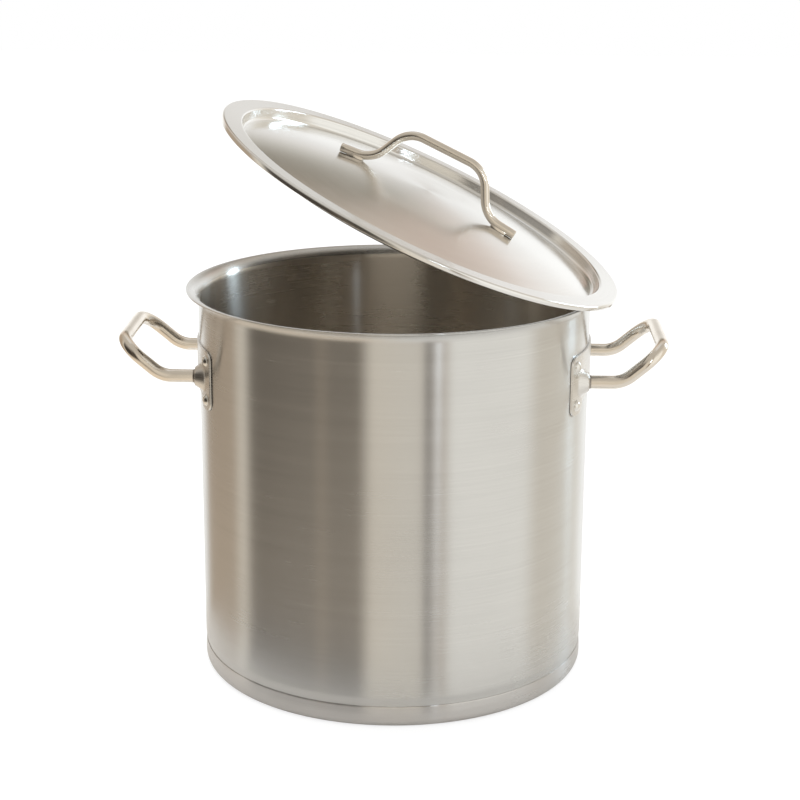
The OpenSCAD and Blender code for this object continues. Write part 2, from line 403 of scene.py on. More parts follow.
class Graph:
    """A node tree that is built call by call."""

    def __init__(self, tree: Tree) -> None:
        """Wraps a tree."""
        self.tree = tree

    def node(self, kind: str, entries: dict[str | int, object] | None = None,
             **settings: object) -> bpy.types.Node:
        """Adds a node.

        Args:
            kind: The node's type.
            entries: What goes into its inputs, by name or number.
            **settings: Attributes of the node.

        Returns:
            The node.
        """
        made = self.tree.nodes.new(kind)
        for key, value in settings.items():
            setattr(made, key, value)
        for key, value in (entries or {}).items():
            self.feed(value, made.inputs[key])
        return made

    def feed(self, value: object, socket: Socket) -> None:
        """Links a socket or sets a plain value.

        Args:
            value: An output socket, or a number, colour or vector.
            socket: The input that takes it.
        """
        if isinstance(value, Socket):
            self.tree.links.new(value, socket)
        else:
            socket.default_value = value

    def math(self, operation: str, *values: object) -> Socket:
        """Adds a Math node and returns its output."""
        return self.node("ShaderNodeMath", dict(enumerate(values)), operation=operation).outputs[0]

    def total(self, *terms: tuple[object, float]) -> Socket:
        """Adds up values.

        Args:
            *terms: Each value and its weight.

        Returns:
            The sum.
        """
        whole, *rest = (self.math("MULTIPLY", value, weight) for value, weight in terms)
        for term in rest:
            whole = self.math("ADD", whole, term)
        return whole

    def vector(self, operation: str, *values: object) -> Socket:
        """Adds a Vector Math node and returns its output."""
        made = self.node("ShaderNodeVectorMath", dict(enumerate(values)), operation=operation)
        return made.outputs["Value" if operation == "LENGTH" else "Vector"]

    def scaled(self, vector: object, factor: object) -> Socket:
        """Scales a vector and returns the result."""
        return self.node("ShaderNodeVectorMath", {0: vector, "Scale": factor},
                         operation="SCALE").outputs["Vector"]

    def split(self, vector: object) -> bpy.types.NodeOutputs:
        """Adds a Separate XYZ node and returns its three outputs."""
        return self.node("ShaderNodeSeparateXYZ", {0: vector}).outputs

    def join(self, *parts: object) -> Socket:
        """Adds a Combine XYZ node and returns its output."""
        return self.node("ShaderNodeCombineXYZ", dict(enumerate(parts))).outputs[0]

    def noise(self, where: object, scale: float, detail: float,
              roughness: float) -> Socket:
        """Adds a Noise Texture and returns its value."""
        return self.node("ShaderNodeTexNoise", {"Vector": where, "Scale": scale, "Detail": detail,
                                                "Roughness": roughness}).outputs[0]

    def spread(self, value: object, low: float, high: float) -> Socket:
        """Maps a range onto 0 to 1, clamped, and returns the result."""
        return self.node("ShaderNodeMapRange",
                         dict(enumerate((value, low, high, 0.0, 1.0)))).outputs[0]

    def mix(self, share: object, first: object, second: object) -> Socket:
        """Mixes two colours and returns the result."""
        return self.node("ShaderNodeMix", {0: share, 6: first, 7: second},
                         data_type="RGBA").outputs[2]

    def group(self, tree: Tree, **entries: object) -> bpy.types.NodeOutputs:
        """Adds a node group, feeds its named inputs and returns its outputs."""
        return self.node("ShaderNodeGroup", dict(entries), node_tree=tree).outputs

    def surface(self, shader: bpy.types.Node, kind: str = "Material") -> None:
        """Makes a shader the surface of the material or the world."""
        self.node(f"ShaderNodeOutput{kind}", {"Surface": shader.outputs[0]})

    def ramp(self, value: object, stops: Sequence[tuple[float, Colour]]) -> Socket:
        """Adds a Color Ramp and returns its colour.

        Args:
            value: The factor.
            stops: Position and colour of each stop, in order.

        Returns:
            The colour.
        """
        made = self.node("ShaderNodeValToRGB", {0: value})
        elements = made.color_ramp.elements
        while len(elements) < len(stops):
            elements.new(1.0)
        for element, (position, colour) in zip(elements, stops):
            element.position = position
            element.color = opaque(colour)
        return made.outputs[0]


def opaque(colour: Colour) -> tuple[float, float, float, float]:
    """Gives a colour full alpha."""
    return (*colour, 1.0)


def emptied(tree: Tree) -> Graph:
    """Clears a tree of its first nodes and wraps it."""
    tree.nodes.clear()
    return Graph(tree)


def new_material(name: str) -> tuple[Material, Graph]:
    """Makes a material with no nodes.

    Args:
        name: The material's name.

    Returns:
        The material and its graph.
    """
    material = bpy.data.materials.new(name)
    material.use_nodes = True
    return material, emptied(material.node_tree)


def new_group(name: str, inputs: Sequence[tuple[str, str]], outputs: Sequence[tuple[str, str]]
              ) -> tuple[Tree, Graph, bpy.types.NodeOutputs, bpy.types.NodeInputs]:
    """Makes an empty shader node group with named sockets.

    Args:
        name: The group's name.
        inputs: Name and socket type of each input.
        outputs: Name and socket type of each output.

    Returns:
        The group, its graph, what comes into it and what goes out of it.
    """
    tree = bpy.data.node_groups.new(name, "ShaderNodeTree")
    for title, kind in inputs:
        tree.interface.new_socket(title, in_out="INPUT", socket_type=kind)
    for title, kind in outputs:
        tree.interface.new_socket(title, in_out="OUTPUT", socket_type=kind)
    graph = Graph(tree)
    return (tree, graph, graph.node("NodeGroupInput").outputs,
            graph.node("NodeGroupOutput").inputs)


NUMBER, COLOUR, VECTOR = "NodeSocketFloat", "NodeSocketColor", "NodeSocketVector"
SCRATCH_TURNS = ((0.3, 0.5, 0.2), (1.2, -0.4, 1.1))      # how the scratches lie, in radians
SCRATCH_SCALE = (2.0, 2.0, 90.0)                         # long two ways, thin the third


def brush_group() -> Tree:
    """Makes the grain that brushing leaves: lines across Z of the position it is given.

    Returns:
        The group, with outputs Lines (fine grain) and Bands (broad streaks), both 0 to 1.
    """
    tree, graph, pull, give = new_group(
        "brush_grain",
        [("Position", VECTOR), ("Along", NUMBER), ("Across", NUMBER)],
        [("Lines", NUMBER), ("Bands", NUMBER)])
    x, y, z = graph.split(pull["Position"])

    def grain(along: float, across: float, detail: float, roughness: float
              ) -> Socket:
        """Makes noise that is drawn out along the brushing.

        Args:
            along: How fast it changes along the grain.
            across: How fast it changes across the grain.
            detail: How many finer layers it has.
            roughness: How strong those layers are.

        Returns:
            The noise.
        """
        lengthways = graph.math("MULTIPLY", pull["Along"], along)
        sideways = graph.math("MULTIPLY", pull["Across"], across)
        where = graph.join(graph.math("MULTIPLY", x, lengthways),
                           graph.math("MULTIPLY", y, lengthways),
                           graph.math("MULTIPLY", z, sideways))
        return graph.noise(where, 1.0, detail, roughness)

    fine = grain(1.0, 1.0, 3.0, 0.6)
    long = grain(0.4, 0.35, 2.0, 0.55)
    broad = grain(0.15, 0.05, 2.0, 0.5)
    lines = graph.total((fine, 0.6), (long, 0.4))
    graph.feed(graph.spread(lines, 0.3, 0.7), give["Lines"])
    graph.feed(graph.spread(broad, 0.3, 0.7), give["Bands"])
    return tree


def handling_group() -> Tree:
    """Makes the marks of handling: cloudy smudges and short fine scratches.

    Returns:
        The group, with outputs Smudge and Scratch, both 0 to 1.
    """
    tree, graph, pull, give = new_group(
        "handling_marks", [("Position", VECTOR), ("Size", NUMBER)],
        [("Smudge", NUMBER), ("Scratch", NUMBER)])
    where = graph.scaled(pull["Position"], pull["Size"])
    cloud = graph.noise(where, 1.0, 4.0, 0.55)
    graph.feed(graph.spread(cloud, 0.42, 0.68), give["Smudge"])
    lays = [graph.node("ShaderNodeMapping", {"Vector": where, "Rotation": turn,
                                             "Scale": SCRATCH_SCALE}) for turn in SCRATCH_TURNS]
    thin = [graph.spread(graph.noise(lay.outputs[0], 1.0, 1.0, 0.4), 0.70, 0.76) for lay in lays]
    graph.feed(graph.math("MAXIMUM", *thin), give["Scratch"])
    return tree


def steel_group() -> Tree:
    """Turns grain and marks into the colour, roughness and height of a steel surface.

    Returns:
        The group, with outputs Color, Roughness and Height.
    """
    tree, graph, pull, give = new_group(
        "steel_surface",
        [("Tint", COLOUR), ("Lines", NUMBER), ("Bands", NUMBER), ("Smudge", NUMBER),
         ("Scratch", NUMBER), ("Contrast", NUMBER), ("Roughness", NUMBER), ("Spread", NUMBER)],
        [("Color", COLOUR), ("Roughness", NUMBER), ("Height", NUMBER)])
    lines = graph.math("SUBTRACT", pull["Lines"], 0.5)
    bands = graph.math("SUBTRACT", pull["Bands"], 0.5)
    tone = graph.total((lines, 1.0), (bands, 0.35), (pull["Smudge"], -0.18))
    tone = graph.math("MULTIPLY_ADD", tone, pull["Contrast"], 1.0)
    graph.feed(graph.scaled(pull["Tint"], tone), give["Color"])
    uneven = graph.total((lines, 0.6), (pull["Smudge"], 0.9), (bands, 0.5), (pull["Scratch"], 0.3))
    graph.feed(graph.math("MULTIPLY_ADD", uneven, pull["Spread"], pull["Roughness"]),
               give["Roughness"])
    graph.feed(graph.total((pull["Lines"], 1.0), (pull["Scratch"], -0.2)), give["Height"])
    return tree


@dataclass(frozen=True)
class Shop:
    """The shared node groups that every finish uses."""

    brush: Tree
    handling: Tree
    steel: Tree


@dataclass(frozen=True)
class SteelFinish:
    """One stainless steel finish."""

    name: str
    tint: Colour
    roughness: float
    anisotropy: float = 0.0
    grain: Grain = Grain.FINE
    along: float = 12.0
    across: float = 2200.0
    contrast: float = 0.12
    spread: float = 0.08
    bump: float = 0.02
    marks: float = 9.0

    def made(self, shop: Shop, lid_place: Matrix) -> Material:
        """Builds the material.

        Args:
            shop: The shared groups.
            lid_place: Where the lid lies, in millimetres, for the grain that circles it.

        Returns:
            The material.
        """
        material, graph = new_material(self.name)
        here = graph.node("ShaderNodeTexCoord").outputs["Object"]
        position, tangent = self.lay(graph, here, lid_place)
        brush = graph.group(shop.brush, Position=position, Along=self.along, Across=self.across)
        marks = graph.group(shop.handling, Position=here, Size=self.marks)
        steel = graph.group(
            shop.steel, Tint=opaque(self.tint), Lines=brush["Lines"], Bands=brush["Bands"],
            Smudge=marks["Smudge"], Scratch=marks["Scratch"], Contrast=self.contrast,
            Roughness=self.roughness, Spread=self.spread)
        relief = graph.node("ShaderNodeBump", {"Strength": self.bump, "Distance": METRE,
                                               "Height": steel["Height"]})
        shader = graph.node("ShaderNodeBsdfPrincipled", {
            "Metallic": 1.0, "Anisotropic": self.anisotropy, "Base Color": steel["Color"],
            "Roughness": steel["Roughness"], "Normal": relief.outputs[0]})
        if tangent is not None:
            shader.inputs["Anisotropic Rotation"].default_value = QUARTER_TURN
            graph.feed(tangent, shader.inputs["Tangent"])
        graph.surface(shader)
        return material

    def lay(self, graph: Graph, here: Socket, lid_place: Matrix
            ) -> tuple[Socket, Socket | None]:
        """Lays the grain on the surface.

        Args:
            graph: The material's graph.
            here: Object coordinates.
            lid_place: Where the lid lies, in millimetres.

        Returns:
            The position for the grain, and the direction of the brushing if it has one.
        """
        if self.grain is Grain.FINE:
            return here, None
        if self.grain is Grain.ROUND_POT:
            return here, self.brushed(graph, here, Z_AXIS)
        centre = lid_place.translation * METRE
        flat = graph.node("ShaderNodeMapping", {"Vector": here, "Location": centre,
                                                "Rotation": lid_place.to_euler()},
                          vector_type="TEXTURE")
        x, y, z = graph.split(flat.outputs[0])
        plane = graph.join(x, y)
        radius = graph.vector("LENGTH", plane)
        spoke = graph.split(graph.vector("NORMALIZE", plane))
        round_lid = graph.join(graph.math("MULTIPLY", spoke[0], RING_SHARE),
                               graph.math("MULTIPLY", spoke[1], RING_SHARE),
                               graph.math("SUBTRACT", radius, z))
        arm = graph.vector("SUBTRACT", here, centre)
        return round_lid, self.brushed(graph, arm, lid_place.to_3x3() @ Z_AXIS)

    @staticmethod
    def brushed(graph: Graph, arm: Socket, axis: Vector) -> Socket:
        """Gives the direction of brushing that circles an axis.

        Args:
            graph: The material's graph.
            arm: Position from a point on the axis.
            axis: The axis.

        Returns:
            The direction.
        """
        around = graph.vector("CROSS_PRODUCT", tuple(axis), arm)
        world = graph.node("ShaderNodeVectorTransform", {0: graph.vector("NORMALIZE", around)},
                           vector_type="VECTOR", convert_from="OBJECT", convert_to="WORLD")
        return world.outputs[0]


WALL = SteelFinish("brushed_wall", (0.62, 0.62, 0.61), 0.25, 1.0, Grain.ROUND_POT, along=14.0,
                   contrast=0.08, spread=0.03, bump=0.008)
INSIDE = SteelFinish("brushed_inside", (0.80, 0.76, 0.70), 0.27, 1.0, Grain.ROUND_POT, along=8.0,
                     across=1500.0, contrast=0.03, spread=0.01, bump=0.002)
CAP = SteelFinish("polished_cap", (0.62, 0.61, 0.60), 0.24, 1.0, Grain.ROUND_POT, along=20.0,
                  across=1500.0, contrast=0.08, spread=0.06, bump=0.012)
LID = SteelFinish("circle_brushed_lid", (0.78, 0.78, 0.77), 0.16, 0.9, Grain.ROUND_LID,
                  along=24.0, across=1500.0, contrast=0.05, spread=0.04, bump=0.005)
TUBE = SteelFinish("polished_tube", (0.76, 0.71, 0.64), 0.15, along=60.0, across=900.0,
                   contrast=0.08, spread=0.10, bump=0.01, marks=25.0)
PLATE = SteelFinish("satin_plate", (0.70, 0.69, 0.67), 0.26, along=90.0, across=1600.0,
                    contrast=0.12, spread=0.12, bump=0.02, marks=22.0)
RIVET = SteelFinish("polished_rivet", (0.74, 0.73, 0.70), 0.16, along=90.0, across=600.0,
                    contrast=0.10, spread=0.12, bump=0.01, marks=40.0)
# Dark weld bead: partly the weld's own colour, partly painted shade of the gap where each tube
# meets its boss.
WELD_AND_PAINTED_SHADE = SteelFinish("weld_bead_and_painted_shade", (0.36, 0.33, 0.30), 0.34, along=400.0, across=900.0,
                   contrast=0.5, spread=0.25, bump=0.25, marks=60.0)
CORE = SteelFinish("cast_aluminium", (0.78, 0.78, 0.79), 0.50, along=200.0, across=200.0,
                   contrast=0.15, spread=0.15, bump=0.05)


# ---------------------------------------------------------------- the pot


@dataclass
class Vessel:
    """The shell and the sandwich base."""

    radius: float = 180.0
    height: float = 360.0
    wall: float = 1.0
    floor_r: float = 12.0
    base: float = 6.8
    neck_in: float = 0.9
    cap_high: float = 20.0
    neck_high: float = 9.0
    curl: float = 10.0
    land: float = 1.2
    cap_wall: float = 0.8
    cap_corner: float = 7.0
    ground_high: float = 8.0
    ground_deep: float = 0.5
    seam: float = 0.02
    rim_ease: float = 1.5
    neck_ease: float = 2.0
    gap: float = 0.1

    def sheet_edge(self, profile: Profile, offset: float, outwards: bool) -> None:
        """Draws one face of the shell, from the axis to the rim or back.

        Args:
            profile: The profile, which is at the face's first point.
            offset: Distance of the face from the outer face.
            outwards: True from the axis to the rim.
        """
        low_x = self.radius - self.neck_in - self.floor_r - self.wall
        low_z = self.base + self.floor_r + self.wall
        bend = self.floor_r + self.wall - offset
        rim_x, rim_z = self.radius + self.curl, self.height - self.wall - self.curl
        foot = (low_x + bend, self.cap_high + self.gap)
        neck = (self.radius - offset, self.cap_high + self.neck_high)
        if outwards:
            profile.line(HUB, low_z - bend).line(low_x - EASE, low_z - bend, 12)
            profile.line(low_x, low_z - bend).arc(low_x, low_z, 90.0, 12).line(*foot)
            self.neck(profile, foot, neck)
            profile.line(neck[0], neck[1] + self.neck_ease)
            profile.line(neck[0], rim_z - self.rim_ease, 24)
            profile.line(neck[0], rim_z).arc(rim_x, rim_z, -90.0, 14)
            return
        profile.arc(rim_x, rim_z, 90.0, 14).line(neck[0], rim_z - self.rim_ease)
        profile.line(neck[0], neck[1] + self.neck_ease, 24).line(*neck)
        self.neck(profile, neck, foot)
        profile.line(low_x + bend, low_z).arc(low_x, low_z, -90.0, 12)
        profile.line(low_x - EASE, low_z - bend).line(HUB, low_z - bend, 12)
        profile.line(0.0, low_z - bend)

    @staticmethod
    def neck(profile: Profile, start: tuple[float, float], end: tuple[float, float]) -> None:
        """Draws the eased step between the foot and the wall.

        Args:
            profile: The profile.
            start: Where it is.
            end: Where it goes.
        """
        steps = 8
        shares = [i / steps for i in range(1, steps + 1)]
        profile.through((start[0] + (end[0] - start[0]) * (s * s * (3.0 - 2.0 * s)),
                         start[1] + (end[1] - start[1]) * s) for s in shares)

    def shell(self) -> Mesh:
        """Makes the drawn shell with its curled rim.

        Returns:
            Its mesh.
        """
        profile = Profile(0.0, self.base)
        self.sheet_edge(profile, 0.0, True)
        edge = self.wall / 2.0
        tip = self.radius + self.curl + self.land - edge
        top = self.height
        profile.line(tip, top - self.wall).arc(tip, top - edge, 180.0, 6)
        profile.line(self.radius + self.curl, top)
        self.sheet_edge(profile, self.wall, False)
        return profile.spun()

    def cap(self) -> Mesh:
        """Makes the steel cap of the base.

        Returns:
            Its mesh.
        """
        out, corner, wall = self.radius, self.cap_corner, self.cap_wall
        low, tip = self.cap_high - self.ground_high, out - self.ground_deep
        edge = (tip - out + wall) / 2.0
        profile = Profile(0.0, 0.0)
        profile.line(HUB, 0.0).line(out - corner - EASE, 0.0, 12).line(out - corner, 0.0)
        profile.arc(out - corner, corner, 90.0, 12).line(out, low - EASE, 2)
        profile.line(out - self.seam, low + EASE).line(tip, self.cap_high - edge, 4)
        profile.arc(tip - edge, self.cap_high - edge, 180.0, 4)
        profile.line(out - wall, corner + EASE, 4).line(out - wall, corner)
        profile.arc(out - corner, corner, -90.0, 8).line(HUB, wall, 6).line(0.0, wall)
        return profile.spun()

    def build(self, finishes: Finishes) -> None:
        """Makes the pieces and dresses the hidden core.

        Args:
            finishes: Materials by name.
        """
        shell = piece(self.shell(), "shell", finishes["brushed_wall"], "pot", "pot_steel",
                      "pot_body")
        shell.data.materials.append(finishes["brushed_inside"])
        inner = (self.radius - self.wall / 2.0) * METRE
        for face in shell.data.polygons:
            arm, normal = face.center.to_2d(), face.normal
            inwards = arm.length > TOUCH and normal.to_2d().dot(arm.normalized()) < -INWARDS
            if arm.length < inner and (inwards or normal.z > INWARDS):
                face.material_index = 1
        piece(self.cap(), "cap", finishes["polished_cap"], "pot", "base_steel", "base_cap")
        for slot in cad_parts["base_core"].material_slots:
            slot.material = finishes["cast_aluminium"]


# ---------------------------------------------------------------- side handles


@dataclass
class SideHandle:
    """A bracket, its rivets, and the bent tube welded into it."""

    side: Side
    pot_r: float = 180.0
    leg_z: float = 286.0
    leg_y: float = 58.5
    tube_r: float = 6.0
    leg_reach: float = 28.0
    reach: float = 70.0
    slope: float = 40.0
    knee_r: float = 26.0
    grip_r: float = 23.0
    plate_t: float = 1.8
    plate_w: float = 166.0
    plate_h: float = 55.0
    lobe_w: float = 24.0
    notch: float = 12.0
    corner: float = 8.0
    notch_r: float = 4.0
    boss_r: float = 8.5
    boss_slope: float = 32.0
    boss_h: float = 5.6
    boss_fillet: float = 1.2
    foot_fillet: float = 2.4
    edge_r: float = 0.5
    bead: float = 1.6
    bead_gap: float = 0.02
    gap: float = 0.1
    rivet_y: float = 74.0
    rivet_z: float = 18.0
    head_r: float = 5.25
    head_h: float = 3.2
    head_sunk: float = 0.4
    tail_t: float = 1.2
    tail_r: float = 0.4
    tail_sunk: float = 0.3

    @property
    def plate_out(self) -> float:
        """Radius of the bracket's outer face."""
        return self.pot_r + self.gap + self.plate_t

    @property
    def boss_top(self) -> float:
        """X of the flat top of each boss."""
        return math.sqrt(self.plate_out ** 2 - self.leg_y ** 2) + self.boss_h

    @property
    def place(self) -> Matrix:
        """Mirrors the right-hand handle to the left where it belongs there."""
        return Matrix.Scale(self.side.value, 4, X_AXIS)

    def tube(self) -> Mesh:
        """Makes the bent tube, from the front leg's end to the rear leg's.

        Returns:
            Its mesh.
        """
        cut = self.knee_r * math.tan(math.radians(self.slope / 2.0))
        start = math.sqrt(self.pot_r ** 2 - (self.leg_y - self.tube_r) ** 2) + 2.0 * self.gap
        leg = self.pot_r + self.leg_reach - cut - start
        grip_x = self.reach - self.tube_r - self.leg_reach
        rise = grip_x / math.cos(math.radians(self.slope)) - cut - self.grip_r
        across = 2.0 * (self.leg_y - self.grip_r)
        pipe = Pipe(Vector((start, -self.leg_y, self.leg_z)), X_AXIS, self.tube_r)
        pipe.run(leg - EASE, 4).run(EASE).bend(Z_AXIS, self.knee_r, self.slope, 16)
        pipe.eased(rise, 2).bend(Y_AXIS, self.grip_r, 90.0, 24).eased(across, 6)
        back = -X_AXIS - Z_AXIS * math.tan(math.radians(self.slope))
        pipe.bend(back, self.grip_r, 90.0, 24)
        pipe.eased(rise, 2).bend(Z_AXIS, self.knee_r, self.slope, 16)
        return pipe.run(EASE).run(leg - EASE, 4).capped()

    def outline(self) -> Mesh:
        """Draws the bracket flat, as one face in the YZ plane at X = 0.

        Returns:
            The flat mesh.
        """
        half, high, r = self.plate_w / 2.0, self.plate_h / 2.0, self.corner
        inner, step, n = half - self.lobe_w, self.notch - high, self.notch_r
        edge = Profile(0.0, high)
        edge.line(half - r, high).arc(half - r, high - r, -90.0, 8)
        edge.line(half, r - high).arc(half - r, r - high, -90.0, 8)
        edge.line(inner + r, -high).arc(inner + r, r - high, -90.0, 8)
        edge.arc(inner - n, step - n, 90.0, 6).line(0.0, step)
        bmesh.ops.mirror(edge.bm, geom=edge.bm.verts[:] + edge.bm.edges[:], axis="X",
                         merge_dist=0.0)
        bm = edge.filled()
        bmesh.ops.rotate(bm, verts=bm.verts[:], cent=ORIGIN,
                         matrix=Matrix.Rotation(math.pi / 2.0, 3, "Z"))
        return bm

    def cuts(self, bm: Mesh) -> None:
        """Cuts the flat bracket into strips, finely where the bosses rise.

        Args:
            bm: The flat bracket.
        """
        fine, coarse, near = 1.0, 4.0, 17.0
        for axis, size, middle in ((Y_AXIS, self.plate_w, self.leg_y), (Z_AXIS, self.plate_h, 0.0)):
            place = -size / 2.0 + fine
            while place < size / 2.0:
                bmesh.ops.bisect_plane(bm, geom=bm.verts[:] + bm.edges[:] + bm.faces[:], dist=1e-5,
                                       plane_co=axis * place, plane_no=axis)
                place += fine if abs(abs(place) - middle) < near else coarse

    def pressed(self, y: float, z: float) -> float:
        """Gives the X of the pressed bracket's outer face.

        Args:
            y: Place across the bracket.
            z: Height above the legs.

        Returns:
            X, with the bosses blended into the curved plate.
        """
        plate = math.sqrt(self.plate_out ** 2 - y ** 2)
        away = math.hypot(abs(y) - self.leg_y, z)
        cone = self.boss_top - (away - self.boss_r) / math.tan(math.radians(self.boss_slope))
        boss = -soft_max(-self.boss_top, -cone, self.boss_fillet)
        return soft_max(plate, boss, self.foot_fillet)

    def bracket(self) -> Mesh:
        """Makes the pressed bracket.

        Returns:
            Its mesh.
        """
        bm = self.outline()
        self.cuts(bm)
        thickened(bm, (-self.plate_t, 0.0, 0.0))
        rounded(bm, [e for e in sharp_edges(bm, 1.0)
                     if max(v.co.x for v in e.verts) > -TOUCH], self.edge_r)
        for v in bm.verts:
            v.co.x += self.pressed(v.co.y, v.co.z)
            v.co.z += self.leg_z
        return bm

    def rivet(self) -> Mesh:
        """Makes one rivet along Z, with its head up and Z measured from the pot's axis.

        Returns:
            Its mesh.
        """
        top, r, h = self.plate_out, self.head_r, self.head_h
        ball = (r * r + h * h) / (2.0 * h)
        sweep = math.degrees(math.asin(r / ball))
        tail = math.sqrt((self.pot_r - 1.0) ** 2 - r * r)
        head = Profile(0.0, top + h).arc(0.0, top + h - ball, -sweep, 14)
        head.line(r, top - self.head_sunk).line(0.0, top - self.head_sunk, 3)
        low, soft = tail - self.tail_t, self.tail_r
        foot = Profile(0.0, low).line(r - soft, low, 3)
        foot.arc(r - soft, low + soft, 90.0, 4).line(r, tail, 2)
        foot.line(r, tail + self.tail_sunk).line(0.0, tail + self.tail_sunk, 3)
        return joined([head.spun(40), foot.spun(40)])

    def bead_ring(self) -> Mesh:
        """Makes the weld bead round a leg, along Z from the boss's top.

        Returns:
            Its mesh.
        """
        inner = self.tube_r + self.bead_gap
        profile = Profile(inner, 0.0).line(inner + self.bead, 0.0, 2)
        profile.arc(inner + self.bead, self.bead, -90.0, 8).line(inner, 0.0, 2)
        return profile.spun(72)

    def build(self, finishes: Finishes) -> None:
        """Makes the pieces.

        Args:
            finishes: Materials by name.
        """
        word = self.side.name.lower()
        place = self.place
        piece(placed(self.bracket(), place), f"bracket_plate_{word}", finishes["satin_plate"],
              "pot", "bracket_steel", f"bracket_{word}")
        piece(placed(self.tube(), place), f"tube_{word}", finishes["polished_tube"], "pot",
              "handle_steel", f"handle_{word}")
        lie = Matrix.Rotation(math.pi / 2.0, 4, "Y")
        # Weld rings round the legs; their dark finish is partly painted shade of the gap at each
        # boss.
        beads = [placed(self.bead_ring(), place @ Matrix.Translation(
            (self.boss_top, s * self.leg_y, self.leg_z)) @ lie) for s in (-1, 1)]
        piece(joined(beads), f"weld_rings_{word}", finishes["weld_bead_and_painted_shade"], "pot", "weld_steel",
              f"handle_welds_{word}")
        turn = math.asin(self.rivet_y / self.plate_out)
        for s, row in ((-1, "front"), (1, "rear")):
            pair = [placed(self.rivet(), place @ Matrix.Rotation(s * turn, 4, "Z")
                           @ Matrix.Translation((0.0, 0.0, self.leg_z + t * self.rivet_z))
                           @ lie) for t in (-1, 1)]
            piece(joined(pair), f"rivet_pair_{word}_{row}", finishes["polished_rivet"], "pot",
                  "rivet_steel", f"rivets_{word}_{row}", sharp=50.0)


def soft_max(first: float, second: float, blend: float) -> float:
    """Takes the larger of two heights, with a fillet where they cross.

    Args:
        first: One height.
        second: The other.
        blend: How far the fillet reaches.

    Returns:
        The blended height.
    """
    near = max(blend - abs(first - second), 0.0)
    return max(first, second) + near * near / (4.0 * blend)


# ---------------------------------------------------------------- the lid


